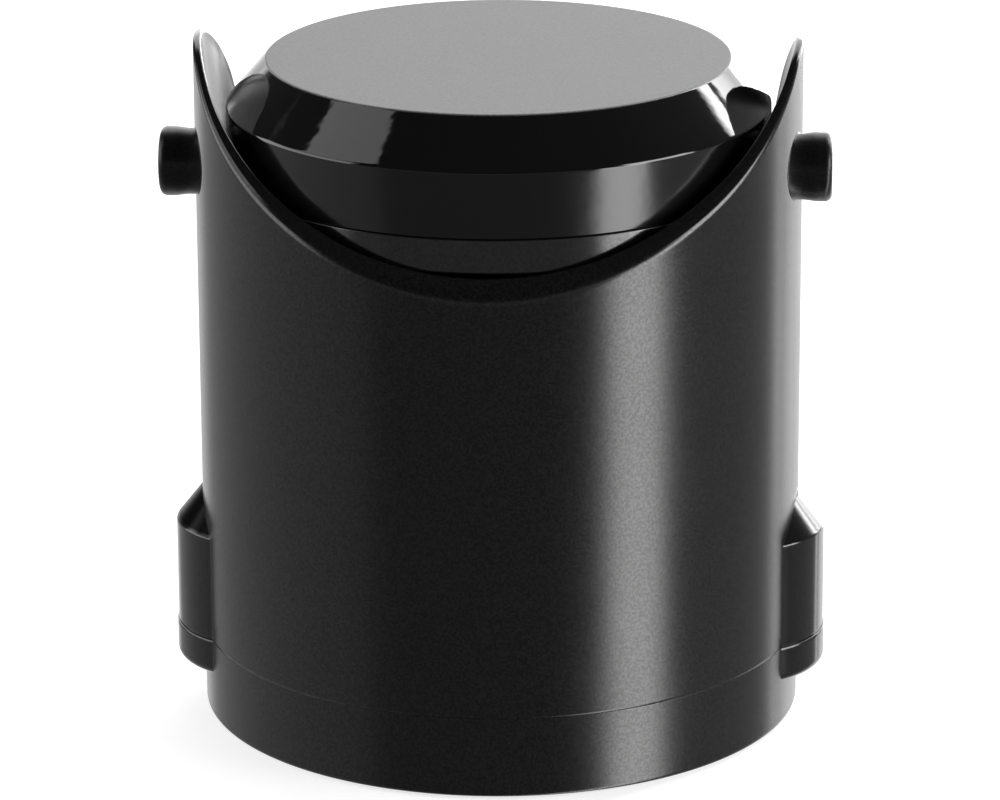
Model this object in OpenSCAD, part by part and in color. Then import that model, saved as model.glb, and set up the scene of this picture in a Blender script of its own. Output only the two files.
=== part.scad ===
// Daylight film developing tank: an inner light-tight tank with a bevelled lid stands in an
// outer sleeve with two raised ears, on a base cap. Inside the tank a ratchet reel turns on a
// centre column.
// Millimetres, +Z up.  The origin is the centre of the rest face, and the front is -Y.

/* [Outer sleeve] */
// Outer radius of the sleeve and the base cap
shell_r = 48; // [46:0.5:52]
// Wall of the sleeve
shell_wall = 2.8; // [2.6:0.1:2.9]
// Height of the seam between the base cap and the sleeve
seam_z = 13.5; // [12.5:0.5:15]
// Height of the rim's outer edge at the front
rim_front_z = 81.8; // [81:0.1:83]
// Slope of the front of the rim, seen from the side, in degrees
rim_rise = 34; // [33:0.5:35]
// Radius of the ears, seen from the side
ear_r = 17.1; // [16:0.1:18]
// Height of the top of the ears
ear_top_z = 110.2; // [109.5:0.1:111]
// How far the back edge of the right ear is trimmed forward
ear_trim = 2; // [0:0.5:6]

/* [Side lobes] */
// Radius of each lobe in plan
lobe_r = 15.2; // [14:0.1:16]
// Distance from the tank's axis to the centre of a lobe
lobe_x = 37; // [36:0.1:38]
// Underside of the lobes
lobe_low_z = 7.5; // [7:0.1:8]
// Height where the upright face of a lobe ends and its chamfered top begins
lobe_face_z = 30.6; // [28:0.2:33]
// Height where the chamfered top meets the sleeve
lobe_apex_z = 36; // [35:0.1:37]
// How far the lobes lie in front of the middle
lobe_forward = 2.5; // [2:0.1:4]

/* [Pegs] */
// Radius of the peg heads
peg_r = 5.45; // [5.2:0.05:5.6]
// Distance from the middle of the tank to the end of a peg
peg_end_x = 52.6; // [52:0.1:54]
// Height of the peg axis
peg_z = 91.7; // [90:0.1:93]
// How far the peg axis lies in front of the middle
peg_forward = 9.6; // [8:0.1:10.5]

/* [Inner tank and lid] */
// Inside radius of the inner tank
tank_bore_r = 39.6; // [39.4:0.1:39.8]
// Height of the seam under the lid
lid_seam_z = 88.9; // [88:0.1:90]
// Outside radius of the lid
lid_r = 43.05; // [42.9:0.05:43.2]
// Height of the lower edge of the bevel
bevel_z = 99.4; // [99:0.1:100]
// Radius of the flat top of the lid
lid_top_r = 36.6; // [36:0.1:37.5]
// Height of the flat top of the lid
lid_top_z = 106.8; // [106:0.1:107.5]

/* [Reel] */
// Radius of the reel flanges
reel_r = 38.5; // [38:0.1:38.8]
// Width between the floors of the two spiral tracks, for film 35 mm wide
film_w = 35.2; // [35.1:0.1:35.4]
// Height of the underside of the reel
reel_z = 23.2; // [23.1:0.1:23.5]
// Spacing of the spiral track
track_pitch = 2.4; // [2.2:0.1:2.4]

/* [Hidden] */
$fn = 96;
// Overshoot of a cut past a face
eps = 1;
// Free gap between parts that are set down on each other
gap = 0.1;

black_satin = [0.10, 0.10, 0.105];
black_gloss = [0.05, 0.05, 0.055];
black_inner = [0.13, 0.13, 0.135];
grey_lid = [0.16, 0.16, 0.165];
rubber_black = [0.07, 0.07, 0.07];
reel_white = [0.86, 0.86, 0.84];
brass = [0.72, 0.58, 0.28];
steel = [0.62, 0.63, 0.65];

// Sleeve and base
shell_bore_r = shell_r - shell_wall;
sleeve_blank_z = 112;
taper_z = 84;
taper_end_r = shell_r - 1.15;
ear_z = ear_top_z - ear_r;
ear_y = (ear_r / cos(rim_rise) + ear_z - rim_front_z) / tan(rim_rise) - shell_r;
ear_back = 72;
rim_back_z = rim_front_z;
rim_back_y = ear_y + (ear_r / sin(ear_back)) + (ear_z - rim_back_z) / tan(ear_back);
rim_fillet = 6;
fillet_reach = rim_fillet * tan(ear_back / 2);
fillet_y = rim_back_y + fillet_reach;
fillet_z = rim_back_z + rim_fillet;
// How far a line is sunk below the arc that it runs into
blend = 0.02;
side_y = shell_r + 6;
foot_h = 0.4;
floor_z = 3;
edge_break = 0.6;
spigot_r = shell_bore_r - gap;
spigot_bore_r = 42.2;
spigot_z = seam_z + 6.5;
seal_groove_z = seam_z + 3.2;
seal_groove_h = 2.2;
seal_groove_d = 1.6;
seal_groove_r = spigot_r - seal_groove_d;
seal_ring_r = 0.84;
seal_gap = 0.01;
foot_in_r = 38;
foot_out_r = 42;
foot_groove_z = 1.6;
lobe_top_r = shell_r - lobe_x;
lobe_slope = (lobe_apex_z - lobe_face_z) / (lobe_r - lobe_top_r);
lobe_tip_r = 8;
lobe_tip_z = lobe_apex_z + (lobe_top_r - lobe_tip_r) * lobe_slope;
base_lobe_extra = 0.2;

// Screws in the lobes
insert_h = 6;
insert_z = seam_z + 0.05;
screw_x = 49.1;
screw_r = 1.23;
screw_head_r = 2.5;
screw_head_h = 2.2;
counterbore_r = screw_head_r + 0.25;
screw_seat_z = lobe_low_z + 2.6;
screw_end_z = seam_z + insert_h - 0.5;
insert_r = 2.2;
insert_bore_r = 1.25;
insert_hole_r = insert_r + 0.02;
screw_hole_r = 1.6;
screw_tip_room = 3;
recess_w = 0.8;
recess_l = 3;
recess_h = 1.2;

// Pegs
peg_stem_r = 2.95;
peg_hole_r = 3;
peg_neck_r = 5.05;
peg_root_r = 5.6;
peg_root_x = 48;
peg_neck_x = 48.4;
peg_neck_end_x = 48.7;
peg_head_x = 49.4;
peg_round = 0.9;
washer_r = 5.2;
washer_in_r = 44.6;
washer_gap = 0.02;
washer_hole_r = peg_stem_r + 0.01;
peg_buried_x = 44;

// Inner tank
tank_wall_r = 41.8;
tank_low_z = floor_z + gap;
tank_floor_z = 5.5;
tank_chamfer = 1;
tank_fillet = 1.5;
collar_r = 44.2;
collar_z = 82.7;
collar_bevel = 1.2;
rim_r = 41.4;
rim_z = 97;
rebate_r = 40.6;
rebate_d = 1.6;
rebate_z = rim_z - rebate_d;
boss_r = 6;
boss_z = 12.5;

// Light trap funnel
funnel_lip_r = rebate_r - gap;
funnel_skirt_r = tank_bore_r - gap;
funnel_bore_r = 36.5;
funnel_skirt_z = 90;
funnel_throat_z = 82;
funnel_tube_r = 12;
funnel_tube_bore_r = 10.2;
funnel_tube_z = 70.5;
funnel_wall = 2;
funnel_groove_r = 38.3;
funnel_groove_z = 93;
funnel_groove_h = 1.8;
funnel_ring_r = 0.64;

// Lid
lid_skirt_bore_r = 41.5;
lid_foot_z = lid_seam_z + gap;
lid_ledge_z = 98.7;
lid_lip_out_r = 38.8;
lid_lip_in_r = 38;
lid_lip_z = 97.6;
lid_inside_r = 34.6;
lid_wall = 2.4;
lid_inside_z = lid_top_z - lid_wall;
lid_round = 0.35;
lid_seal_in_r = 38.9;
lid_seal_out_r = 41.3;
lid_seal_gap = 0.05;

// Column
column_r = 9.5;
column_bore_r = 7.5;
column_z = tank_floor_z + gap;
column_top_z = 79;
column_bush_r = boss_r + 0.05;
column_bush_z = 12.8;
port_low_z = 14;
port_high_z = 19;
port_w = 6;
rest_r = 17;
rest_z = 21;
rest_h = 2;
clip_r = 12;
clip_z = 64.3;
clip_h = 4;
clip_gap_w = 9;
clip_tab_l = 5;
clip_tab_w = 7;
clip_tab_x = clip_r - 1;
clip_bore_r = column_r + 0.05;

// Reel
reel_bore_r = column_r + 0.08;
flange_t = 1.6;
track_low_z = reel_z + flange_t;
track_high_z = track_low_z + film_w;
hub_r = 15;
hub_bore_r = 13;
hub_top_z = 50;
core_r = hub_bore_r - 0.08;
core_bore_r = column_r + 0.1;
core_low_z = 27;
core_top_z = clip_z - 3 * gap;
track_in_r = 19;
track_half_turns = 14;
track_rib_w = 0.8;
track_rib_h = 1.5;
window_count = 8;
window_in_r = 20;
window_l = 14;
window_w = 8;
stop_tab_deg = 12;
stop_travel_deg = 30;
stop_out_r = 14.6;
stop_z = 46;
stop_h = 3;
stop_play_deg = 1;
stop_play = 0.5;
root_overlap = 0.5;
entry_x = 33.2;
entry_l = 5;
entry_w = 12;
entry_h = 5;
entry_cut_l = 10;
ball_r = 1.6;
ball_x = 35.7;
ball_y = -0.9;
pocket_w = 3.3;
pocket_l = 5.2;
pocket_slot_w = 2.2;
ball_gap = 0.03;

// Tube along Z from height z0 to z1
module tube(outer, inner, z0, z1) {
  difference() {
    translate([0, 0, z0]) cylinder(r = outer, h = z1 - z0);
    translate([0, 0, z0 - eps]) cylinder(r = inner, h = z1 - z0 + 2 * eps);
  }
}

// Ring of round section
module o_ring(centre_r, section_r, z) {
  translate([0, 0, z]) rotate_extrude() translate([centre_r, 0]) circle(r = section_r, $fn = 32);
}

// The children, once on the screw axis of each side
module both_sides() {
  for (side = [-1, 1]) translate([side * screw_x, -lobe_forward, 0]) children();
}

// Round lobes on both sides, from z0 to z1
module side_lobes(radius, z0, z1) {
  for (side = [-1, 1]) translate([side * lobe_x, -lobe_forward, z0]) cylinder(r = radius, h = z1 - z0);
}

module base_cap() {
  color(black_satin) difference() {
    union() {
      rotate_extrude() polygon([
        [0, foot_h], [shell_r - edge_break, foot_h], [shell_r, foot_h + edge_break],
        [shell_r, seam_z], [spigot_r, seam_z], [spigot_r, spigot_z], [0, spigot_z]
      ]);
      side_lobes(lobe_r + base_lobe_extra, lobe_low_z, seam_z);
    }
    translate([0, 0, floor_z]) cylinder(r = spigot_bore_r, h = spigot_z);
    translate([0, 0, seal_groove_z]) rotate_extrude() translate([seal_groove_r, -seal_groove_h / 2])
      square([spigot_r, seal_groove_h]);
    tube(foot_out_r, foot_in_r, -eps, foot_groove_z);
    both_sides() translate([0, 0, lobe_low_z - eps]) cylinder(r = screw_hole_r, h = seam_z);
    both_sides() translate([0, 0, lobe_low_z - eps])
      cylinder(r = counterbore_r, h = screw_seat_z - lobe_low_z + eps);
  }
}

module base_seal() {
  color(rubber_black) o_ring(shell_bore_r - seal_ring_r - seal_gap, seal_ring_r, seal_groove_z);
}

module foot_ring() {
  color(rubber_black) tube(foot_out_r - gap, foot_in_r + gap, 0, foot_groove_z);
}

// Bore of the sleeve, which widens towards the tips of the ears
module sleeve_bore(clear) {
  translate([0, 0, seam_z - eps]) cylinder(r = shell_bore_r - clear, h = taper_z - seam_z + eps);
  translate([0, 0, taper_z]) cylinder(r1 = shell_bore_r - clear, r2 = taper_end_r - clear,
                                      h = sleeve_blank_z - taper_z);
}

// What is cut away above the rim, seen from the side: the rim rises in a straight line from the
// front to the round ears, and drops steeply behind them to a level back
module mouth_view() {
  difference() {
    polygon([
      [-side_y, rim_front_z - (side_y - shell_r) * tan(rim_rise)],
      [ear_y - (ear_r - blend) * sin(rim_rise), ear_z + (ear_r - blend) * cos(rim_rise)],
      [ear_y + (ear_r - blend) * sin(ear_back), ear_z + (ear_r - blend) * cos(ear_back)],
      [rim_back_y - fillet_reach * cos(ear_back), rim_back_z + fillet_reach * sin(ear_back)],
      [fillet_y, fillet_z], [fillet_y, rim_back_z], [side_y, rim_back_z],
      [side_y, sleeve_blank_z + eps], [-side_y, sleeve_blank_z + eps]
    ]);
    translate([ear_y, ear_z]) circle(r = ear_r);
  }
}

// The cut along +X, with the fillet at the foot of the ear's back edge
module mouth_cut(length) {
  rotate([90, 0, 90]) linear_extrude(height = length) mouth_view();
  translate([0, fillet_y, fillet_z]) rotate([0, 90, 0]) cylinder(r = rim_fillet + blend, h = length);
}

module outer_sleeve() {
  color(black_satin) difference() {
    union() {
      translate([0, 0, seam_z]) cylinder(r = shell_r, h = sleeve_blank_z - seam_z);
      side_lobes(lobe_r, seam_z, lobe_face_z);
      for (side = [-1, 1]) translate([side * lobe_x, -lobe_forward, lobe_face_z])
        cylinder(r1 = lobe_r, r2 = lobe_tip_r, h = lobe_tip_z - lobe_face_z);
    }
    translate([-side_y, 0, 0]) mouth_cut(2 * side_y);
    translate([0, -ear_trim, 0]) mouth_cut(side_y);
    sleeve_bore(0);
    translate([-shell_r - eps, -peg_forward, peg_z]) rotate([0, 90, 0])
      cylinder(r = peg_hole_r, h = 2 * (shell_r + eps));
    both_sides() translate([0, 0, seam_z - eps]) cylinder(r = insert_hole_r, h = insert_h + eps);
    both_sides() translate([0, 0, seam_z - eps]) cylinder(r = insert_bore_r, h = insert_h + screw_tip_room);
  }
}

// One peg on the +X side, its root cut to the curve of the sleeve
module peg() {
  difference() {
    translate([0, -peg_forward, peg_z]) rotate([0, 90, 0]) rotate_extrude() union() {
      polygon([
        [0, peg_buried_x], [peg_root_r, peg_buried_x], [peg_root_r, peg_root_x],
        [peg_neck_r, peg_neck_x], [peg_neck_r, peg_neck_end_x], [peg_r, peg_head_x],
        [peg_r, peg_end_x - peg_round], [peg_r - peg_round, peg_end_x], [0, peg_end_x]
      ]);
      intersection() {
        translate([peg_r - peg_round, peg_end_x - peg_round]) circle(r = peg_round, $fn = 48);
        translate([0, peg_end_x - peg_round]) square([peg_r, peg_round]);
      }
    }
    cylinder(r = shell_r, h = sleeve_blank_z);
  }
  difference() {
    translate([0, -peg_forward, peg_z]) rotate([0, 90, 0]) cylinder(r = peg_stem_r, h = peg_neck_x);
    cylinder(r = washer_in_r, h = sleeve_blank_z);
  }
}

module peg_left() {
  color(black_gloss) mirror([1, 0, 0]) peg();
}

module peg_right() {
  color(black_gloss) peg();
}

// Two push-on washers that hold the pegs, curved to the inside of the sleeve
module peg_washers() {
  color(black_gloss) for (side = [0, 1]) mirror([side, 0, 0]) difference() {
    intersection() {
      translate([0, -peg_forward, peg_z]) rotate([0, 90, 0]) cylinder(r = washer_r, h = shell_r);
      sleeve_bore(washer_gap);
    }
    translate([0, 0, -eps]) cylinder(r = washer_in_r, h = sleeve_blank_z);
    translate([0, -peg_forward, peg_z]) rotate([0, 90, 0]) cylinder(r = washer_hole_r, h = shell_r);
  }
}

module base_screws() {
  color(steel) both_sides() difference() {
    union() {
      translate([0, 0, screw_seat_z - screw_head_h]) cylinder(r = screw_head_r, h = screw_head_h);
      translate([0, 0, screw_seat_z - eps]) cylinder(r = screw_r, h = screw_end_z - screw_seat_z + eps);
    }
    for (turn = [0, 90]) rotate([0, 0, turn])
      translate([-recess_l / 2, -recess_w / 2, screw_seat_z - screw_head_h - eps])
        cube([recess_l, recess_w, recess_h + eps]);
  }
}

module screw_inserts() {
  color(brass) both_sides() tube(insert_r, insert_bore_r, insert_z, seam_z + insert_h);
}

module inner_tank() {
  color(black_inner) rotate_extrude() polygon([
    [0, tank_low_z], [tank_wall_r - tank_chamfer, tank_low_z], [tank_wall_r, tank_low_z + tank_chamfer],
    [tank_wall_r, collar_z], [collar_r, collar_z + collar_bevel], [collar_r, lid_seam_z],
    [rim_r, lid_seam_z], [rim_r, rim_z], [rebate_r, rim_z], [rebate_r, rebate_z],
    [tank_bore_r, rebate_z], [tank_bore_r, tank_floor_z + tank_fillet],
    [tank_bore_r - tank_fillet, tank_floor_z], [boss_r, tank_floor_z], [boss_r, boss_z], [0, boss_z]
  ]);
}

module light_trap_funnel() {
  color(black_inner) difference() {
    rotate_extrude() polygon([
      [funnel_bore_r, rim_z], [funnel_lip_r, rim_z], [funnel_lip_r, rebate_z + gap],
      [funnel_skirt_r, rebate_z + gap], [funnel_skirt_r, funnel_skirt_z],
      [funnel_tube_r, funnel_throat_z], [funnel_tube_r, funnel_tube_z],
      [funnel_tube_bore_r, funnel_tube_z], [funnel_tube_bore_r, funnel_throat_z + funnel_wall],
      [funnel_bore_r, funnel_skirt_z + funnel_wall]
    ]);
    translate([0, 0, funnel_groove_z]) rotate_extrude()
      translate([funnel_groove_r, -funnel_groove_h / 2]) square([funnel_skirt_r, funnel_groove_h]);
  }
}

module funnel_seal() {
  color(rubber_black) o_ring(tank_bore_r - funnel_ring_r - seal_gap, funnel_ring_r, funnel_groove_z);
}

module lid_cap() {
  color(grey_lid) rotate_extrude() polygon([
    [0, lid_top_z], [lid_top_r - lid_round, lid_top_z], [lid_top_r + lid_round, lid_top_z - lid_round],
    [lid_r, bevel_z], [lid_r, lid_foot_z], [lid_skirt_bore_r, lid_foot_z],
    [lid_skirt_bore_r, lid_ledge_z], [lid_lip_out_r, lid_ledge_z], [lid_lip_out_r, lid_lip_z],
    [lid_lip_in_r, lid_lip_z], [lid_lip_in_r, bevel_z + lid_round], [lid_inside_r, lid_inside_z],
    [0, lid_inside_z]
  ]);
}

module lid_seal() {
  color(rubber_black) tube(lid_seal_out_r, lid_seal_in_r, rim_z + lid_seal_gap, lid_ledge_z - lid_seal_gap);
}

// Centre column: a tube that turns on the boss of the tank, with a rest for the reel
module centre_column() {
  color(black_inner) difference() {
    union() {
      translate([0, 0, column_z]) cylinder(r = column_r, h = column_top_z - column_z);
      translate([0, 0, rest_z]) cylinder(r = rest_r, h = rest_h);
    }
    translate([0, 0, column_z - eps]) cylinder(r = column_bush_r, h = column_top_z);
    translate([0, 0, column_bush_z]) cylinder(r = column_bore_r, h = column_top_z);
    for (turn = [0, 90]) rotate([0, 0, turn]) translate([-column_r - eps, -port_w / 2, port_low_z])
      cube([2 * (column_r + eps), port_w, port_high_z - port_low_z]);
  }
}

// Open clip that grips the column above the reel
module reel_clip() {
  color(black_gloss) difference() {
    union() {
      translate([0, 0, clip_z]) cylinder(r = clip_r, h = clip_h);
      translate([clip_tab_x, -clip_tab_w / 2, clip_z])
        cube([clip_r + clip_tab_l - clip_tab_x, clip_tab_w, clip_h / 2]);
    }
    translate([0, 0, clip_z - eps]) cylinder(r = clip_bore_r, h = clip_h + 2 * eps);
    translate([-clip_r - eps, -clip_gap_w / 2, clip_z - eps]) cube([clip_r, clip_gap_w, clip_h + 2 * eps]);
  }
}

// Spiral rib from half rings about two centres, half a pitch apart
module spiral_rib() {
  for (k = [0 : track_half_turns - 1]) {
    odd = k % 2;
    translate([odd * track_pitch / 2, 0, 0]) rotate([0, 0, odd * 180]) rotate_extrude(angle = 180)
      translate([track_in_r + k * track_pitch / 2, 0]) square([track_rib_w, track_rib_h]);
  }
}

// Flange with its spiral rib and film entry upward from z = 0, around a bore
module flange(bore_r) {
  difference() {
    cylinder(r = reel_r, h = flange_t);
    translate([0, 0, -eps]) cylinder(r = bore_r, h = flange_t + 2 * eps);
    for (turn = [0 : window_count - 1]) rotate([0, 0, (turn + 0.5) * 360 / window_count])
      translate([window_in_r, -window_w / 2, -eps]) cube([window_l, window_w, flange_t + 2 * eps]);
  }
  difference() {
    translate([0, 0, flange_t]) spiral_rib();
    translate([entry_x, -entry_w / 2, 0]) cube([entry_cut_l, entry_w, entry_h]);
  }
  difference() {
    translate([entry_x, -entry_w / 2, flange_t]) cube([entry_l, entry_w, entry_h]);
    translate([ball_x - pocket_w / 2, -pocket_l / 2, flange_t]) cube([pocket_w, pocket_l, pocket_w]);
    translate([ball_x - pocket_slot_w / 2, -pocket_l / 2, flange_t])
      cube([pocket_slot_w, pocket_l, entry_h + eps]);
  }
}

// Lower half of the reel: flange and outer hub, with a stop window in the hub
module reel_flange_lower() {
  color(reel_white) {
    translate([0, 0, reel_z]) flange(reel_bore_r);
    difference() {
      tube(hub_r, hub_bore_r, track_low_z - root_overlap, hub_top_z);
      rotate([0, 0, 180 - stop_travel_deg - stop_tab_deg / 2 - stop_play_deg])
        rotate_extrude(angle = 2 * (stop_travel_deg + stop_play_deg) + stop_tab_deg)
          translate([hub_bore_r - eps, stop_z - stop_play])
            square([2 * eps + hub_r - hub_bore_r, hub_top_z]);
    }
  }
}

// Upper half of the reel: flange and inner core, with the stop tab on the core
module reel_flange_upper() {
  color(reel_white) {
    translate([0, 0, track_high_z + flange_t]) mirror([0, 0, 1]) flange(core_bore_r);
    tube(core_r, core_bore_r, core_low_z, core_top_z);
    rotate([0, 0, 180 - stop_tab_deg / 2]) rotate_extrude(angle = stop_tab_deg)
      translate([core_r - root_overlap, stop_z])
        square([stop_out_r - core_r + root_overlap, stop_h]);
  }
}

module feed_ball_lower() {
  color(steel) translate([ball_x, ball_y, track_low_z + ball_r + ball_gap]) sphere(r = ball_r);
}

module feed_ball_upper() {
  color(steel) translate([ball_x, ball_y, track_high_z - ball_r - ball_gap]) sphere(r = ball_r);
}

base_cap();
base_seal();
foot_ring();
outer_sleeve();
peg_left();
peg_right();
peg_washers();
base_screws();
screw_inserts();
inner_tank();
light_trap_funnel();
funnel_seal();
lid_cap();
lid_seal();
centre_column();
reel_clip();
reel_flange_lower();
reel_flange_upper();
feed_ball_lower();
feed_ball_upper();
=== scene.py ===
import math

import bpy
from mathutils import Matrix, Vector


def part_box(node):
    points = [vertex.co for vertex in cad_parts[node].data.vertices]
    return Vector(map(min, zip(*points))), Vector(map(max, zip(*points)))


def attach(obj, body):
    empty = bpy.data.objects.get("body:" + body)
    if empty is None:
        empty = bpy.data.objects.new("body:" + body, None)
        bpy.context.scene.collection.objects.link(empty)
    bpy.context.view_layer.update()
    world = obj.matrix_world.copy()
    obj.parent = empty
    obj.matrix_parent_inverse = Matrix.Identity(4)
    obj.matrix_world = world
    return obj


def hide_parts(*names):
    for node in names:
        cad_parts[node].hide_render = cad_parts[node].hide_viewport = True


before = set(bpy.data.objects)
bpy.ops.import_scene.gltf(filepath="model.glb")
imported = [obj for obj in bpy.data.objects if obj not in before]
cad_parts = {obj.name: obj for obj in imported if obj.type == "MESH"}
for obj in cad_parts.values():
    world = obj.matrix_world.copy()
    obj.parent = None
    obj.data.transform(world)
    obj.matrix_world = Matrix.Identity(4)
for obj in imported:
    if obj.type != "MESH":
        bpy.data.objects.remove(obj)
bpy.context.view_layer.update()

MM = 0.001

# ---------------------------------------------------------------- driving sizes, from the frame
sleeve_lo, sleeve_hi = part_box("outer_sleeve")
lid_lo, lid_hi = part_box("lid_cap")
tank_lo, tank_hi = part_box("inner_tank")
base_lo, base_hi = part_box("base_cap")
foot_lo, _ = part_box("foot_ring")
peg_lo, peg_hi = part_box("peg_right")

SHELL_R = sleeve_hi.y
SEAM_Z = sleeve_lo.z
EAR_TOP_Z = sleeve_hi.z
LID_R = lid_hi.y
LID_TOP_Z = lid_hi.z
LID_SEAM_Z = lid_lo.z
COLLAR_R = tank_hi.y
TANK_RIM_Z = tank_hi.z
PEG_Y = (peg_lo.y + peg_hi.y) / 2
PEG_Z = (peg_lo.z + peg_hi.z) / 2
PEG_END_X = peg_hi.x

# Sizes that the frame's boxes don't show
BORE_R = 45.2 * MM
BORE_TOP_R = 46.85 * MM
TAPER_Z = 84.0 * MM
TAPER_TOP_Z = 112.0 * MM
RIM_FRONT_Z = 81.8 * MM
RIM_RISE = math.radians(34)
EAR_R = 17.1 * MM
EAR_BACK = math.radians(72)
RIM_FILLET = 6.0 * MM
EAR_TRIM = 2.0 * MM
LOBE_X = 37.0 * MM
LOBE_FORWARD = 2.5 * MM
LOBE_R = 15.2 * MM
LOBE_LOW_Z = 7.5 * MM
LOBE_FACE_Z = 30.6 * MM
LOBE_APEX_Z = 36.0 * MM
LID_TOP_R = 36.6 * MM
BEVEL_Z = 99.4 * MM
TANK_WALL_R = 41.8 * MM
TANK_BORE_R = 39.6 * MM
COLLAR_LOW_Z = 82.7 * MM
COLLAR_FLARE = 0.75 * MM
PEG_R = 5.45 * MM
PEG_WAIST_R = 5.2 * MM

# Inside of the base cap: the foot's groove, and a spigot with a groove for the seal
BASE_FLOOR_Z = 3.0 * MM
FOOT_IN_R = 38.0 * MM
FOOT_OUT_R = 42.0 * MM
FOOT_GROOVE_Z = 1.6 * MM
SPIGOT_GAP = 0.1 * MM
SPIGOT_BORE_R = 42.2 * MM
SEAL_GROOVE_LOW = 2.1 * MM
SEAL_GROOVE_HIGH = 4.3 * MM
SEAL_GROOVE_DEPTH = 1.6 * MM

# Tank: the step of its foot, the collar's bevel, the neck with its rebate, and the boss
TANK_CHAMFER = 1.0 * MM
COLLAR_BEVEL = 1.2 * MM
LID_GAP = 0.05 * MM
NECK_R = 41.4 * MM
REBATE_R = 40.6 * MM
REBATE_DEPTH = 1.6 * MM
TANK_FLOOR_Z = 5.5 * MM
BOSS_R = 6.0 * MM
BOSS_Z = 12.5 * MM

# Inside of the lid: the skirt, the lip under its ledge, and the hollow under the bevel
SKIRT_BORE_R = 41.5 * MM
LEDGE_Z = 98.7 * MM
LIP_OUT_R = 38.8 * MM
LIP_IN_R = 38.0 * MM
LIP_Z = 97.6 * MM
HOLLOW_LOW_Z = 99.75 * MM
HOLLOW_TOP_R = 34.6 * MM
HOLLOW_TOP_Z = 104.4 * MM

AROUND = 360          # columns round the tank
SUPPORT = 0.12 * MM   # distance of a holding loop from a rounded corner
ROW_STEP = 4.0 * MM   # longest row of a turned shape


# ---------------------------------------------------------------- mesh helpers
def mesh_object(name, verts, faces):
    mesh = bpy.data.meshes.new(name)
    mesh.from_pydata([tuple(v) for v in verts], [], faces)
    mesh.validate()
    mesh.update()
    for polygon in mesh.polygons:
        polygon.use_smooth = True
    obj = bpy.data.objects.new(name, mesh)
    bpy.context.scene.collection.objects.link(obj)
    return obj


def skin(name, rows, closed=False, cap_first=False, cap_last=False):
    """Quads between rows of points. Each row is a loop; closed also joins the last row to the first."""
    count = len(rows[0])
    verts = [p for row in rows for p in row]
    faces = []
    pairs = len(rows) if closed else len(rows) - 1
    for i in range(pairs):
        a = i * count
        b = (i + 1) % len(rows) * count
        for j in range(count):
            k = (j + 1) % count
            faces.append((a + j, a + k, b + k, b + j))
    for cap, start, flip in ((cap_first, 0, True), (cap_last, (len(rows) - 1) * count, False)):
        if cap:
            ring = verts[start:start + count]
            middle = len(verts)
            verts.append(sum(ring, Vector()) / count)
            for j in range(count):
                k = (j + 1) % count
                corner = (start + k, start + j) if flip else (start + j, start + k)
                faces.append((middle,) + corner)
    return mesh_object(name, verts, faces)


def fillet(before, corner, after, radius, steps=6):
    """Points of an arc that rounds a corner of a profile, with a holding point at each side."""
    a, b = (before - corner), (after - corner)
    half = a.angle(b) / 2
    reach = min(radius / math.tan(half), 0.7 * a.length, 0.7 * b.length)
    radius = reach * math.tan(half)
    a.normalize()
    b.normalize()
    centre = corner + (a + b).normalized() * (radius / math.sin(half))
    start, end = corner + a * reach - centre, corner + b * reach - centre
    sweep = start.angle(end)
    sign = 1 if start.x * end.y - start.y * end.x > 0 else -1
    points = [corner + a * (reach + SUPPORT)]
    for i in range(steps + 1):
        turn = sign * sweep * i / steps
        points.append(centre + Vector((
            start.x * math.cos(turn) - start.y * math.sin(turn),
            start.x * math.sin(turn) + start.y * math.cos(turn))))
    points.append(corner + b * (reach + SUPPORT))
    return points


def rounded(corners):
    """A profile from corners: radius and height in metres, and rounding in millimetres."""
    plane = [Vector((r, z)) for r, z, _ in corners]
    out = []
    for i, (_, _, rounding) in enumerate(corners):
        if rounding == 0:
            out.append(plane[i])
        else:
            out += fillet(plane[i - 1], plane[i], plane[i + 1], rounding * MM)
    return out


def divided(profile):
    """The same profile with its long segments split into even ones."""
    out = []
    for point, after in zip(profile, profile[1:]):
        parts = max(1, math.ceil((after - point).length / ROW_STEP))
        out += [point.lerp(after, k / parts) for k in range(parts)]
    return out + [profile[-1]]


def turned(name, profile):
    """A turned shape. The profile starts and ends on the axis, where the shape gets its poles."""
    angles = [2 * math.pi * j / AROUND for j in range(AROUND)]
    for end, beside in ((0, 1), (-1, -2)):
        profile[end] = profile[end].lerp(profile[beside], 0.02)
    rows = [[Vector((p.x * math.sin(t), -p.x * math.cos(t), p.y)) for t in angles]
            for p in divided(profile)]
    return skin(name, rows, cap_first=True, cap_last=True)


# ---------------------------------------------------------------- outer sleeve
RIM_COLUMNS = 960
RIM_STEPS = 10
RIM_ROUND = 1.3 * MM
RIM_FRONT_ROUND = 0.9 * MM
RIM_FRONT_SPREAD = math.radians(22)
RIM_INNER_ROUND = 0.2 * MM
EAR_INNER_ROUND = 0.4 * MM
EAR_SHARPER = 0.6     # how much of the rounding the ears' tips lose
WALL_RUN = 8.0 * MM   # length of wall that a rounding may use up
SEAM_CHAMFER = 0.05 * MM

EAR_Z = EAR_TOP_Z - EAR_R
EAR_Y = (EAR_R / math.cos(RIM_RISE) + EAR_Z - RIM_FRONT_Z) / math.tan(RIM_RISE) - SHELL_R
FRONT_TANGENT_Y = EAR_Y - EAR_R * math.sin(RIM_RISE)
BACK_TANGENT_Y = EAR_Y + EAR_R * math.sin(EAR_BACK)
BACK_CORNER_Y = EAR_Y + EAR_R / math.sin(EAR_BACK) + (EAR_Z - RIM_FRONT_Z) / math.tan(EAR_BACK)
FILLET_Y = BACK_CORNER_Y + RIM_FILLET * math.tan(EAR_BACK / 2)


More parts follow.
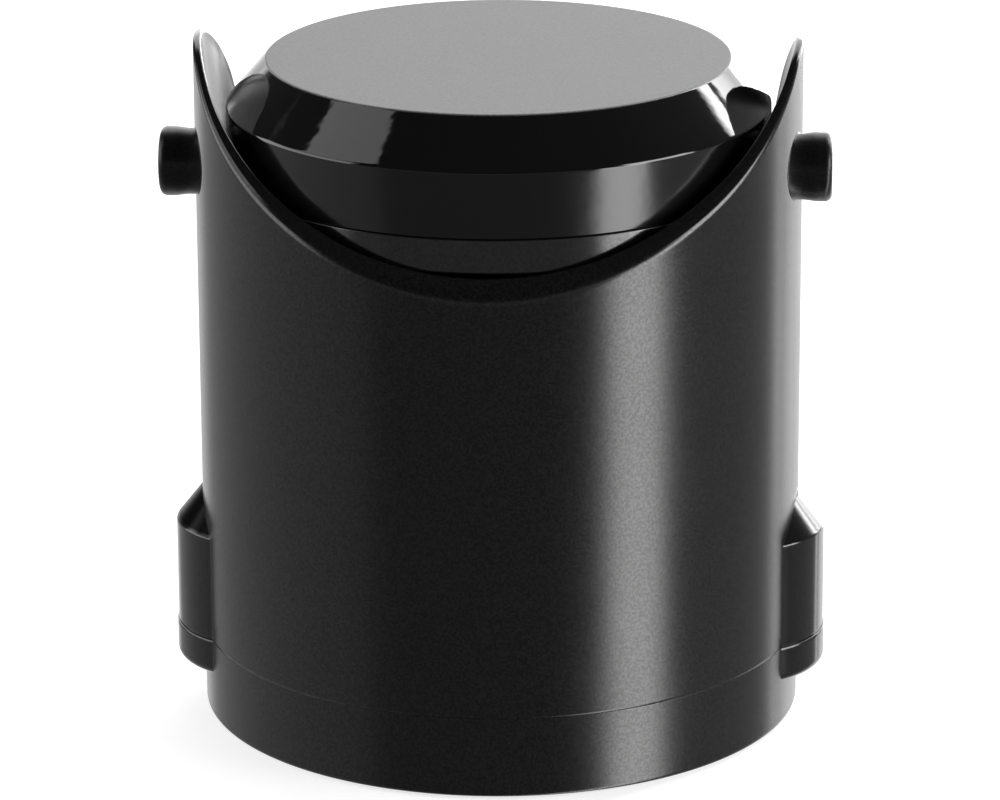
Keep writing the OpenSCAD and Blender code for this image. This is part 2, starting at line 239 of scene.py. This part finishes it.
def side_view(y):
    """Side view of the rim: a straight rise, a round ear, a steep drop, a fillet and a level back."""
    if y < FRONT_TANGENT_Y:
        return RIM_FRONT_Z + (y + SHELL_R) * math.tan(RIM_RISE)
    if y < BACK_TANGENT_Y:
        return EAR_Z + math.sqrt(EAR_R ** 2 - (y - EAR_Y) ** 2)
    if y < FILLET_Y - RIM_FILLET * math.sin(EAR_BACK):
        return RIM_FRONT_Z + (BACK_CORNER_Y - y) * math.tan(EAR_BACK)
    if y < FILLET_Y:
        return RIM_FRONT_Z + RIM_FILLET - math.sqrt(RIM_FILLET ** 2 - (y - FILLET_Y) ** 2)
    return RIM_FRONT_Z


def rim_height(x, y):
    """Height of the rim. The back edge of the right ear stands further forward than the left one's."""
    return min(side_view(y), side_view(y + EAR_TRIM)) if x > 0 else side_view(y)


def bore_radius(z):
    share = min(max((z - TAPER_Z) / (TAPER_TOP_Z - TAPER_Z), 0), 1)
    return BORE_R + (BORE_TOP_R - BORE_R) * share


def rim_section(t):
    """Rim of the sleeve at angle t from the front: points (r, z) from the outer wall to the bore."""
    def height(r):
        return rim_height(r * math.sin(t), -r * math.cos(t))

    bore = BORE_TOP_R
    for _ in range(12):
        bore = (bore + bore_radius(height(bore))) / 2
    corner = Vector((SHELL_R, height(SHELL_R)))
    inner = Vector((bore, height(bore)))
    below = Vector((SHELL_R, corner.y - WALL_RUN))
    from_front = min(t, 2 * math.pi - t)
    at_ear = math.sin(t) ** 8
    reach = RIM_ROUND + RIM_FRONT_ROUND * math.exp(-(from_front / RIM_FRONT_SPREAD) ** 2)
    reach *= 1 - EAR_SHARPER * at_ear
    half = (below - corner).angle(inner - corner) / 2
    points = fillet(below, corner, inner, reach * math.tan(half), steps=10)
    inside = fillet(points[-1], inner, Vector((bore, inner.y - WALL_RUN)),
                    RIM_INNER_ROUND + EAR_INNER_ROUND * at_ear, steps=4)
    first, last = points[-1], inside[0]
    for i in range(1, RIM_STEPS):
        points.append(first.lerp(last, i / RIM_STEPS))
    return points + inside


def build_sleeve():
    """Shell with two ears: rows run from the seam up the outside, over the rim and down the bore."""
    angles = [2 * math.pi * (j + 0.5) / RIM_COLUMNS for j in range(RIM_COLUMNS)]
    rims = [rim_section(t) for t in angles]

    def ring(radius_of, height_of):
        return [Vector((radius_of(j) * math.sin(t), -radius_of(j) * math.cos(t), height_of(j)))
                for j, t in enumerate(angles)]

    def between(j, share, low, side):
        high = rims[j][0 if side == "out" else -1].y
        return low + (high - low) * share

    low = SEAM_Z + SEAM_CHAMFER
    rows = [ring(lambda j: SHELL_R - SEAM_CHAMFER, lambda j: SEAM_Z)]
    rows.append(ring(lambda j: SHELL_R, lambda j: low))
    shares = [0.004] + [i / 24 for i in range(1, 24)] + [0.985]
    for share in shares:
        rows.append(ring(lambda j: SHELL_R, lambda j: between(j, share, low, "out")))
    for k in range(len(rims[0])):
        rows.append(ring(lambda j: rims[j][k].x, lambda j: rims[j][k].y))
    for share in [0.98, 0.9, 0.8, 0.6, 0.4, 0.2, 0.02]:
        rows.append(ring(lambda j: bore_radius(between(j, share, SEAM_Z, "in")),
                         lambda j: between(j, share, SEAM_Z, "in")))
    rows.append(ring(lambda j: BORE_R, lambda j: SEAM_Z))
    return skin("sleeve_shell", rows, closed=True)


# ---------------------------------------------------------------- side lobes
LOBE_FILLET = 0.5 * MM
LOBE_SINK = 1.0 * MM
LOBE_EDGE_ROUND = 0.7 * MM
LOBE_TIP = 0.06 * MM
LOBE_FOOT_ROUND = 1.5 * MM
LOBE_FOOT_FLAT = 2.6 * MM
BASE_LOBE_EXTRA = 0.2 * MM
LOBE_ARC = 48
LOBE_TOP_STEPS = 16
LOBE_OUT = math.hypot(LOBE_X, LOBE_FORWARD)
LOBE_TURN = -math.atan2(LOBE_FORWARD, LOBE_X)


def lobe_outline(radius, side):
    """Plan of a lobe as a closed loop: a fillet out of the wall, the round face, and a fillet back."""
    stand_out = LOBE_OUT + radius - SHELL_R
    grow = min(LOBE_FILLET, 0.6 * stand_out)
    far, near = SHELL_R + grow, radius + grow
    x = (far * far - near * near + LOBE_OUT * LOBE_OUT) / (2 * LOBE_OUT)
    y = math.sqrt(far * far - x * x)
    fillet_centre = Vector((x, -y))
    on_wall = fillet_centre * (SHELL_R / far)
    lobe_centre = Vector((LOBE_OUT, 0))
    on_lobe = lobe_centre + (fillet_centre - lobe_centre) * (radius / near)
    points = []
    start = on_wall - fillet_centre
    end = on_lobe - fillet_centre
    sweep = math.atan2(start.x * end.y - start.y * end.x, start.dot(end))
    wall_angle = math.atan2(on_wall.y, on_wall.x)
    sunk = SHELL_R - LOBE_SINK
    points.append(Vector((sunk * math.cos(wall_angle), sunk * math.sin(wall_angle))))
    for i in range(9):
        turn = sweep * i / 8
        points.append(fillet_centre + Vector((
            start.x * math.cos(turn) - start.y * math.sin(turn),
            start.x * math.sin(turn) + start.y * math.cos(turn))))
    first = math.atan2(on_lobe.y, on_lobe.x - LOBE_OUT)
    for i in range(1, LOBE_ARC // 2 + 1):
        angle = first * (1 - i / (LOBE_ARC // 2))
        points.append(lobe_centre + Vector((radius * math.cos(angle), radius * math.sin(angle))))
    mirrored = [Vector((p.x, -p.y)) for p in reversed(points[:-1])]
    loop = points + mirrored
    for i in range(1, 12):
        angle = wall_angle * (1 - 2 * i / 12)
        loop.append(Vector((sunk * math.cos(angle), sunk * math.sin(angle))))
    c, s = math.cos(LOBE_TURN), math.sin(LOBE_TURN)
    return [Vector((side * (c * p.x - s * p.y), s * p.x + c * p.y)) for p in loop]


def build_lobe(name, side, levels):
    """A lobe from (radius, height) levels."""
    rows = []
    for radius, height in levels:
        rows.append([Vector((p.x, p.y, height)) for p in lobe_outline(radius, side)])
    if side < 0:
        rows = [list(reversed(row)) for row in rows]
    return skin(name, rows, cap_first=True, cap_last=True)


def sleeve_lobe_levels():
    """Upright face, then a softened edge and the chamfered top that runs into the wall."""
    tip_r = SHELL_R - LOBE_OUT + LOBE_TIP
    slope = (LOBE_APEX_Z - LOBE_FACE_Z) / (LOBE_R - (SHELL_R - LOBE_OUT))
    levels = [(LOBE_R - SEAM_CHAMFER, SEAM_Z), (LOBE_R, SEAM_Z + SEAM_CHAMFER)]
    levels += [(LOBE_R, SEAM_Z + share * (LOBE_FACE_Z - SEAM_Z)) for share in (0.03, 0.3, 0.6, 0.9)]
    corner = Vector((LOBE_R, LOBE_FACE_Z))
    top = Vector((tip_r, LOBE_FACE_Z + (LOBE_R - tip_r) * slope))
    levels += [(p.x, p.y) for p in fillet(Vector((LOBE_R, SEAM_Z)), corner, top, LOBE_EDGE_ROUND)]
    last = Vector(levels[-1])
    for i in range(1, LOBE_TOP_STEPS + 1):
        p = last.lerp(top, i / LOBE_TOP_STEPS)
        levels.append((p.x, p.y))
    return levels


def base_lobe_levels():
    """Lower part of a lobe, with a rounded foot edge."""
    radius = LOBE_R + BASE_LOBE_EXTRA
    flat = Vector((radius - LOBE_FOOT_FLAT, LOBE_LOW_Z))
    foot = fillet(flat, Vector((radius, LOBE_LOW_Z)), Vector((radius, SEAM_Z)), LOBE_FOOT_ROUND)
    levels = [(p.x, p.y) for p in [flat] + foot]
    return levels + [(radius, SEAM_Z - 0.6 * MM), (radius, SEAM_Z - SEAM_CHAMFER),
                     (radius - SEAM_CHAMFER, SEAM_Z)]


# ---------------------------------------------------------------- base cap
def build_base():
    """Base cap, from the middle of its underside to the middle of its floor."""
    low, top = base_lo.z, base_hi.z
    spigot = BORE_R - SPIGOT_GAP
    groove = spigot - SEAL_GROOVE_DEPTH
    groove_low, groove_high = SEAM_Z + SEAL_GROOVE_LOW, SEAM_Z + SEAL_GROOVE_HIGH
    return turned("base_shell", rounded([
        (0, low, 0), (FOOT_IN_R, low, 0.15), (FOOT_IN_R, FOOT_GROOVE_Z, 0),
        (FOOT_OUT_R, FOOT_GROOVE_Z, 0), (FOOT_OUT_R, low, 0.15),
        (SHELL_R, low, 0.7), (SHELL_R, SEAM_Z, SEAM_CHAMFER / MM), (spigot, SEAM_Z, 0),
        (spigot, groove_low, 0), (groove, groove_low, 0), (groove, groove_high, 0),
        (spigot, groove_high, 0), (spigot, top, 0.3), (SPIGOT_BORE_R, top, 0.3),
        (SPIGOT_BORE_R, BASE_FLOOR_Z, 0.8), (0, BASE_FLOOR_Z, 0)]))


# ---------------------------------------------------------------- inner tank and lid
def build_tank():
    """Tank, from the middle of its underside over the collar and the neck to the boss."""
    low, seam, rim = tank_lo.z, LID_SEAM_Z - LID_GAP, TANK_RIM_Z
    rebate = rim - REBATE_DEPTH
    return turned("tank_vessel", rounded([
        (0, low, 0), (TANK_WALL_R - TANK_CHAMFER, low, 0.5), (TANK_WALL_R, low + TANK_CHAMFER, 0.5),
        (TANK_WALL_R, COLLAR_LOW_Z, 0.6), (COLLAR_R, COLLAR_LOW_Z + COLLAR_BEVEL, 0.3),
        (COLLAR_R - COLLAR_FLARE, seam, 0.1), (NECK_R, seam, 0.1), (NECK_R, rim, 0.25),
        (REBATE_R, rim, 0.15), (REBATE_R, rebate, 0.1), (TANK_BORE_R, rebate, 0.15),
        (TANK_BORE_R, TANK_FLOOR_Z, 2.0), (BOSS_R, TANK_FLOOR_Z, 0.5), (BOSS_R, BOSS_Z, 0.4),
        (0, BOSS_Z, 0)]))


def build_lid():
    """Lid, from the middle of its underside over the lip, the skirt and the bevel to the top."""
    return turned("lid_shell", rounded([
        (0, HOLLOW_TOP_Z, 0), (HOLLOW_TOP_R, HOLLOW_TOP_Z, 0.8), (LIP_IN_R, HOLLOW_LOW_Z, 0.8),
        (LIP_IN_R, LIP_Z, 0.2), (LIP_OUT_R, LIP_Z, 0.2), (LIP_OUT_R, LEDGE_Z, 0.1),
        (SKIRT_BORE_R, LEDGE_Z, 0.3), (SKIRT_BORE_R, LID_SEAM_Z, 0.2), (LID_R, LID_SEAM_Z, 0.1),
        (LID_R, BEVEL_Z, 0.9), (LID_TOP_R, LID_TOP_Z, 0.5), (0, LID_TOP_Z, 0)]))


# ---------------------------------------------------------------- pegs
PEG_AROUND = 96
PEG_SWELL_X = 47.9 * MM   # where the waist starts to swell into the head
PEG_SWELL = 2.6 * MM      # length of the swell
PEG_FLARE = 0.25 * MM     # how far the root spreads over the wall
PEG_SINK = 0.12 * MM      # how deep the root's edge lies in the wall
PEG_POLE_R = 0.3 * MM     # innermost ring of the end face


def build_peg(name, side):
    """Round peg along X: a root that follows the wall, a faint waist and a rounded outer edge."""
    angles = [2 * math.pi * j / PEG_AROUND for j in range(PEG_AROUND)]
    rows = []
    for share in (1, 0.32, 0):
        r = PEG_WAIST_R + share * PEG_FLARE
        rise = (1 - share) * PEG_FLARE * 1.2 - PEG_SINK
        row = []
        for t in angles:
            y, z = PEG_Y + r * math.cos(t), PEG_Z + r * math.sin(t)
            row.append(Vector((side * (math.sqrt(SHELL_R ** 2 - y * y) + rise), y, z)))
        rows.append(row)
    body = []
    for i in range(11):
        share = i / 10
        swell = share * share * (3 - 2 * share)
        body.append((PEG_WAIST_R + (PEG_R - PEG_WAIST_R) * swell, PEG_SWELL_X + PEG_SWELL * share, 0))
    for p in rounded(body + [(PEG_R, PEG_END_X, 1.1), (PEG_POLE_R, PEG_END_X, 0)]):
        rows.append([Vector((side * p.y, PEG_Y + p.x * math.cos(t), PEG_Z + p.x * math.sin(t)))
                     for t in angles])
    if side < 0:
        rows = [list(reversed(row)) for row in rows]
    return skin(name, rows, cap_first=True, cap_last=True)


# ---------------------------------------------------------------- materials
class Nodes:
    """Short forms for the nodes of one shader tree."""

    def __init__(self, tree):
        self.tree = tree

    def add(self, kind, inputs=None, **settings):
        node = self.tree.nodes.new(kind)
        for key, value in settings.items():
            setattr(node, key, value)
        for key, value in (inputs or {}).items():
            socket = node.inputs[key]
            if isinstance(value, bpy.types.NodeSocket):
                self.tree.links.new(value, socket)
            else:
                socket.default_value = value
        return node

    def math(self, operation, a, b=0.0, c=0.0):
        return self.add("ShaderNodeMath", {0: a, 1: b, 2: c}, operation=operation).outputs[0]

    def remap(self, value, low, high, to_low, to_high, smooth=False):
        node = self.add("ShaderNodeMapRange", {
            "Value": value, "From Min": low, "From Max": high, "To Min": to_low, "To Max": to_high})
        node.interpolation_type = "SMOOTHSTEP" if smooth else "LINEAR"
        return node.outputs["Result"]

    def noise(self, vector, scale, detail=3.0, roughness=0.55):
        node = self.add("ShaderNodeTexNoise", {
            "Vector": vector, "Scale": scale, "Detail": detail, "Roughness": roughness})
        return node.outputs["Fac"]

    def mix(self, factor, a, b):
        return self.add("ShaderNodeMix", {"Factor": factor, "A": a, "B": b}).outputs["Result"]

    def mix_colours(self, factor, a, b):
        node = self.add("ShaderNodeMix", {"Factor": factor, "A": a, "B": b}, data_type="RGBA")
        return node.outputs["Result"]

    def finish(self, shader, kind="ShaderNodeOutputMaterial"):
        self.tree.links.new(shader.outputs[0], self.add(kind).inputs[0])


def new_material(name):
    """A material without nodes, and the short forms for its tree."""
    material = bpy.data.materials.new(name)
    material.use_nodes = True
    material.node_tree.nodes.clear()
    return material, Nodes(material.node_tree)


def opaque(level, tint=0.0):
    """A grey, or with a tint a slightly bluer one."""
    return (level, level, level + tint, 1)


SPREAD = 0.04          # how far a plastic's roughness wanders
SPECKLE_SCALE = 2300.0
# Painted shade: the left lobe's chamfer loses its gloss over this height, so that it renders dark.
DULL_STEP = 0.6 * MM   # height over which a dulled surface loses its gloss


def plastic(name, colour, roughness, grain=0.0, grain_size=0.25, lighter=1.25, wave=0.0,
            specular=0.5, dust=0.0, edge=0.0, polished_inside=False, shade_dull_above=None):
    """Moulded plastic: a slightly uneven colour and roughness, a fine grain and faint ripples."""
    material, n = new_material(name)
    place = n.add("ShaderNodeTexCoord").outputs["Object"]
    axes = n.add("ShaderNodeSeparateXYZ", {"Vector": place})
    cloud = n.noise(place, 45.0, 4.0)
    fine = n.noise(place, 1.0 / (grain_size * MM), 3.0, 0.6)
    speckled = n.noise(place, SPECKLE_SCALE, 2.0, 0.6)
    base = n.mix_colours(n.remap(speckled, 0.40, 0.60, 0.0, 1.0),
                         (*colour, 1), (*[c * lighter for c in colour], 1))
    if dust > 0:
        cells = n.add("ShaderNodeTexVoronoi", {"Vector": place, "Scale": 160.0, "Randomness": 1.0})
        speck = n.remap(cells.outputs["Distance"], 0.03, 0.06, 1.0, 0.0)
        chosen = n.math("GREATER_THAN", n.add("ShaderNodeSeparateColor", {
            "Color": cells.outputs["Color"]}).outputs[0], 1.0 - dust)
        base = n.mix_colours(n.math("MULTIPLY", speck, chosen), base, opaque(0.30))
    rough = n.math("ADD", n.remap(cloud, 0.25, 0.75, -SPREAD / 2, SPREAD / 2),
                   n.remap(fine, 0.3, 0.7, roughness - SPREAD / 2, roughness + SPREAD / 2))
    if polished_inside:
        flat = n.add("ShaderNodeCombineXYZ", {"X": axes.outputs["X"], "Y": axes.outputs["Y"]})
        radius = n.add("ShaderNodeVectorMath", {0: flat.outputs[0]}, operation="LENGTH").outputs["Value"]
        inside = n.remap(radius, SHELL_R - 0.5 * MM, SHELL_R - 0.05 * MM, 1.0, 0.0)
        rough = n.mix(inside, rough, n.remap(fine, 0.3, 0.7, 0.07, 0.10))
    ripple = n.noise(place, 28.0, 2.0)
    height = n.math("ADD", n.math("MULTIPLY", fine, grain * MM), n.math("MULTIPLY", ripple, wave * MM))
    bump = n.add("ShaderNodeBump", {"Height": height, "Strength": 1.0, "Distance": 1.0})
    if edge > 0:
        soft = n.add("ShaderNodeBevel", {"Radius": edge * MM}, samples=4)
        n.tree.links.new(soft.outputs[0], bump.inputs["Normal"])
    level = n.remap(speckled, 0.40, 0.60, specular * 0.88, specular * 1.12)
    # Painted shade: gloss cut away above this height, so that the surface renders dark.
    if shade_dull_above is not None:
        gloss = n.remap(axes.outputs["Z"], shade_dull_above, shade_dull_above + DULL_STEP, 1.0, 0.05)
        level = n.math("MULTIPLY", level, gloss)
    n.finish(n.add("ShaderNodeBsdfPrincipled", {
        "Base Color": base, "Roughness": rough, "Normal": bump.outputs[0], "Specular IOR Level": level}))
    return material


def metal(name, colour, roughness):
    """Bright metal with a slightly uneven colour and a very fine grain."""
    material, n = new_material(name)
    place = n.add("ShaderNodeTexCoord").outputs["Object"]
    fine = n.noise(place, 2500.0, 2.0)
    cloud = n.noise(place, 300.0, 2.0)
    base = n.mix_colours(cloud, (*colour, 1), (*[c * 0.8 for c in colour], 1))
    bump = n.add("ShaderNodeBump", {"Height": n.math("MULTIPLY", fine, 0.01 * MM), "Distance": 1.0})
    n.finish(n.add("ShaderNodeBsdfPrincipled", {
        "Base Color": base, "Metallic": 1.0, "Normal": bump.outputs[0],
        "Roughness": n.remap(fine, 0.2, 0.8, roughness, roughness + 0.1)}))
    return material


BEVEL_WAVE = 0.04 * MM
BEVEL_GRAIN = 0.0002 * MM
TOP_GRAIN = 0.020 * MM


def lid_material():
    """One moulding with three finishes: a matt top whose grey is painted light from the overhead light
    it faces, a polished bevel and a satin side.
    """
    material, n = new_material("lid_black")
    place = n.add("ShaderNodeTexCoord").outputs["Object"]
    height = n.add("ShaderNodeSeparateXYZ", {"Vector": place}).outputs["Z"]
    top = n.remap(height, LID_TOP_Z - 0.25 * MM, LID_TOP_Z - 0.05 * MM, 0.0, 1.0)
    side = n.remap(height, BEVEL_Z - 0.5 * MM, BEVEL_Z - 0.1 * MM, 1.0, 0.0)
    grain = n.noise(place, 2100.0, 4.0, 0.65)
    cloud = n.noise(place, 60.0, 4.0)
    black = n.mix_colours(cloud, opaque(0.0038, 0.0001), opaque(0.0055, 0.0001))
    # Painted light: the black plastic is painted grey on the top, where it faces the overhead light.
    painted_top_light = n.mix_colours(n.remap(grain, 0.3, 0.7, 0.0, 1.0), opaque(0.080, 0.001), opaque(0.182, 0.001))
    base = n.mix_colours(top, black, painted_top_light)
    polished = n.remap(cloud, 0.3, 0.7, 0.035, 0.06)
    satin = n.remap(grain, 0.3, 0.7, 0.17, 0.21)
    matt = n.remap(grain, 0.3, 0.7, 0.50, 0.62)
    rough = n.mix(top, n.mix(side, polished, satin), matt)
    depth = n.mix(top, BEVEL_GRAIN, TOP_GRAIN)
    wave = n.mix(top, BEVEL_WAVE, 0.0)
    height_field = n.math("ADD", n.math("MULTIPLY", grain, depth),
                          n.math("MULTIPLY", n.noise(place, 210.0, 2.0), wave))
    bump = n.add("ShaderNodeBump", {"Height": height_field, "Distance": 1.0})
    n.finish(n.add("ShaderNodeBsdfPrincipled", {
        "Base Color": base, "Roughness": rough, "Normal": bump.outputs[0]}))
    return material


satin_black = plastic("satin_black", (0.0036, 0.0036, 0.0037), 0.235, grain=0.006, wave=0.004,
                      dust=0.012, lighter=2.3, polished_inside=True)
gloss_black = plastic("gloss_black", (0.004, 0.004, 0.0042), 0.16, grain=0.001, wave=0.003, dust=0.01)
# Painted shade: the chamfer on top of the left lobe reflects much less than the upright face under it,
# because this copy of gloss_black has its gloss cut away above the face.
shaded_chamfer_black = plastic("shaded_chamfer_black", (0.004, 0.004, 0.0042), 0.16, grain=0.001, wave=0.003,
                     shade_dull_above=LOBE_FACE_Z)
peg_black = plastic("peg_black", (0.006, 0.006, 0.0062), 0.32, grain=0.006, wave=0.003, specular=0.3)
tank_black = plastic("tank_black", (0.006, 0.006, 0.0062), 0.17, grain=0.002, wave=0.003)
inner_black = plastic("inner_black", (0.007, 0.007, 0.0072), 0.33, grain=0.003, edge=0.2)
milky_white = plastic("milky_white", (0.62, 0.61, 0.58), 0.38, grain=0.002, lighter=1.08, edge=0.15)
soft_rubber = plastic("soft_rubber", (0.012, 0.012, 0.012), 0.62, grain=0.012, grain_size=0.12)
bright_steel = metal("bright_steel", (0.58, 0.58, 0.60), 0.18)
turned_brass = metal("turned_brass", (0.70, 0.50, 0.20), 0.22)
lid_black = lid_material()


def finish_with(obj, material):
    obj.data.materials.clear()
    obj.data.materials.append(material)


# ---------------------------------------------------------------- pieces on their bodies
upper, lower = sleeve_lobe_levels(), base_lobe_levels()
pieces = [
    (build_sleeve(), "sleeve", "shell_plastic", satin_black, ["outer_sleeve"]),
    (build_lobe("sleeve_lobe_left", -1, upper), "sleeve", "shell_plastic", shaded_chamfer_black, []),
    (build_lobe("sleeve_lobe_right", 1, upper), "sleeve", "shell_plastic", gloss_black, []),
    (build_base(), "sleeve", "shell_plastic", satin_black, ["base_cap"]),
    (build_lobe("base_lobe_left", -1, lower), "sleeve", "shell_plastic", gloss_black, []),
    (build_lobe("base_lobe_right", 1, lower), "sleeve", "shell_plastic", gloss_black, []),
    (build_peg("peg_left_round", -1), "sleeve", "peg_plastic", peg_black, ["peg_left"]),
    (build_peg("peg_right_round", 1), "sleeve", "peg_plastic", peg_black, ["peg_right"]),
    (build_tank(), "tank", "tank_plastic", tank_black, ["inner_tank"]),
    (build_lid(), "lid", "lid_plastic", lid_black, ["lid_cap"]),
]
for piece, body, slot, material, nodes in pieces:
    finish_with(piece, material)
    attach(piece, body)
    if nodes:
        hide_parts(*nodes)
    if material is peg_black:
        piece.visible_glossy = False    # the satin wall shows no image of the pegs

node_finishes = {
    "base_seal": soft_rubber, "foot_ring": soft_rubber, "funnel_seal": soft_rubber,
    "lid_seal": soft_rubber, "peg_washers": gloss_black, "base_screws": bright_steel,
    "screw_inserts": turned_brass, "light_trap_funnel": inner_black, "centre_column": inner_black,
    "reel_clip": inner_black, "reel_flange_lower": milky_white, "reel_flange_upper": milky_white,
    "feed_ball_lower": bright_steel, "feed_ball_upper": bright_steel,
}
for node, material in node_finishes.items():
    finish_with(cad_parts[node], material)


# ---------------------------------------------------------------- studio
def build_world():
    """White studio behind, dark in front, with a strip light at the right and dim panels beside it."""
    world = bpy.data.worlds.new("studio")
    bpy.context.scene.world = world
    world.use_nodes = True
    world.node_tree.nodes.clear()
    n = Nodes(world.node_tree)
    direction = n.add("ShaderNodeTexCoord").outputs["Generated"]
    axes = n.add("ShaderNodeSeparateXYZ", {"Vector": direction})
    azimuth = n.math("ARCTAN2", axes.outputs["X"], n.math("MULTIPLY", axes.outputs["Y"], -1.0))
    turn = n.remap(azimuth, -math.pi, math.pi, 0.0, 1.0)
    elevation = n.math("ARCSINE", axes.outputs["Z"])

    def ramp(stops):
        node = n.add("ShaderNodeValToRGB", {"Fac": turn})
        node.color_ramp.interpolation = "LINEAR"
        elements = node.color_ramp.elements
        while len(elements) > 1:
            elements.remove(elements[-1])
        peak = max(level for _, level in stops)
        for i, (degrees, level) in enumerate(stops):
            at = (degrees + 180) / 360
            element = elements[0] if i == 0 else elements.new(at)
            element.position = at
            element.color = (level / peak,) * 3 + (1,)
        return n.math("MULTIPLY", node.outputs["Color"], peak)

    low = ramp([(-180, 1.2), (-152, 1.05), (-146, 0.55), (-50, 0.36), (-45, 0.17), (26, 0.17),
                (43, 0.30), (47, 7.3), (65, 7.3), (69, 0.36), (131, 0.40), (134, 3.4), (136.5, 2.6),
                (139, 0.3), (142, 1.4), (145, 1.9), (160, 1.4), (180, 1.2)])
    high = ramp([(-180, 2.6), (-152, 2.6), (-147, 0.3), (-143, 0.06), (30, 0.04), (60, 0.05),
                 (127, 0.10), (130, 14.0), (134, 14.0), (134.6, 0.3), (137.0, 0.3), (137.6, 9.0),
                 (150, 3.0), (180, 2.6)])
    rise = n.remap(elevation, math.radians(0), math.radians(10), 0.0, 1.0, smooth=True)
    mixed = n.mix(rise, low, high)
    over = n.remap(elevation, math.radians(46), math.radians(62), 0.0, 1.0, smooth=True)
    shown = n.mix(over, mixed, 0.05)

    def panel(left, right, bottom, top, glow, soft):
        """A lit panel between two azimuths and two elevations, in degrees."""
        sides = n.math("MULTIPLY",
                       n.remap(azimuth, math.radians(left - soft), math.radians(left), 0, 1, True),
                       n.remap(azimuth, math.radians(right), math.radians(right + soft), 1, 0, True))
        ends = n.math("MULTIPLY",
                      n.remap(elevation, math.radians(bottom - soft), math.radians(bottom), 0, 1, True),
                      n.remap(elevation, math.radians(top), math.radians(top + soft), 1, 0, True))
        return n.math("MULTIPLY", n.math("MULTIPLY", sides, ends), glow)

    for window in ((-102, -72, 32, 56, 1.7, 2.0), (-116, -64, 2, 24, 3.0, 6.0),
                   (60, 88, 2, 24, 8.5, 5.0), (-48, 40, -2, 9, 0.18, 3.0),
                   (150, 180, -10, 6, 8.0, 2.5)):
        shown = n.math("ADD", shown, panel(*window))
    path = n.add("ShaderNodeLightPath").outputs["Is Camera Ray"]
    level = n.mix(path, shown, 1.0)
    background = n.add("ShaderNodeBackground", {"Strength": level, "Color": opaque(1)})
    n.finish(background, "ShaderNodeOutputWorld")


def build_floor():
    """Pale floor under the foot. It's kept out of the reflections and gives no bounced light."""
    half = 3.0
    divisions = 24
    across = divisions + 1
    steps = [-half + i * 2 * half / divisions for i in range(across)]
    verts = [Vector((x, y, foot_lo.z)) for x in steps for y in steps]
    faces = []
    for i in range(divisions):
        for j in range(divisions):
            a = i * across + j
            faces.append((a, a + across, a + across + 1, a + 1))
    floor = mesh_object("floor", verts, faces)
    material, n = new_material("pale_floor")
    place = n.add("ShaderNodeTexCoord").outputs["Object"]
    shade = n.remap(n.noise(place, 3.0), 0.3, 0.7, 0.70, 0.72)
    diffuse = n.add("ShaderNodeBsdfDiffuse", {"Color": shade})
    glow = n.add("ShaderNodeEmission", {"Color": opaque(1), "Strength": 0.72})
    n.finish(n.add("ShaderNodeAddShader", {0: diffuse.outputs[0], 1: glow.outputs[0]}))
    finish_with(floor, material)
    floor.visible_glossy = False
    floor.visible_diffuse = False


def build_camera():
    """Long lens, 3 degrees to the right of the front, looking down by about 18 degrees."""
    view_azimuth = math.radians(3.0)
    distance, height = 17.197 * SHELL_R, 6.5995 * SHELL_R
    pitch, roll = math.radians(17.93), math.radians(-0.28)
    data = bpy.data.cameras.new("camera")
    data.sensor_width = 36.0
    data.lens = 194.4576
    data.clip_start = 0.05
    data.clip_end = 20.0
    camera = bpy.data.objects.new("camera", data)
    bpy.context.scene.collection.objects.link(camera)
    forward = Vector((0, math.cos(pitch), -math.sin(pitch)))
    up = Vector((0, math.sin(pitch), math.cos(pitch)))
    right = Vector((1, 0, 0))
    right_rolled = right * math.cos(roll) + up * math.sin(roll)
    up_rolled = up * math.cos(roll) - right * math.sin(roll)
    axes = Matrix((right_rolled, up_rolled, -forward)).transposed().to_4x4()
    swing = Matrix.Rotation(view_azimuth, 4, "Z")
    place = Matrix.Translation(Vector((0, -distance, height)))
    camera.matrix_world = swing @ place @ axes
    bpy.context.scene.camera = camera


build_world()
build_floor()
build_camera()
bpy.context.scene.view_settings.view_transform = "Standard"
bpy.context.scene.view_settings.look = "None"
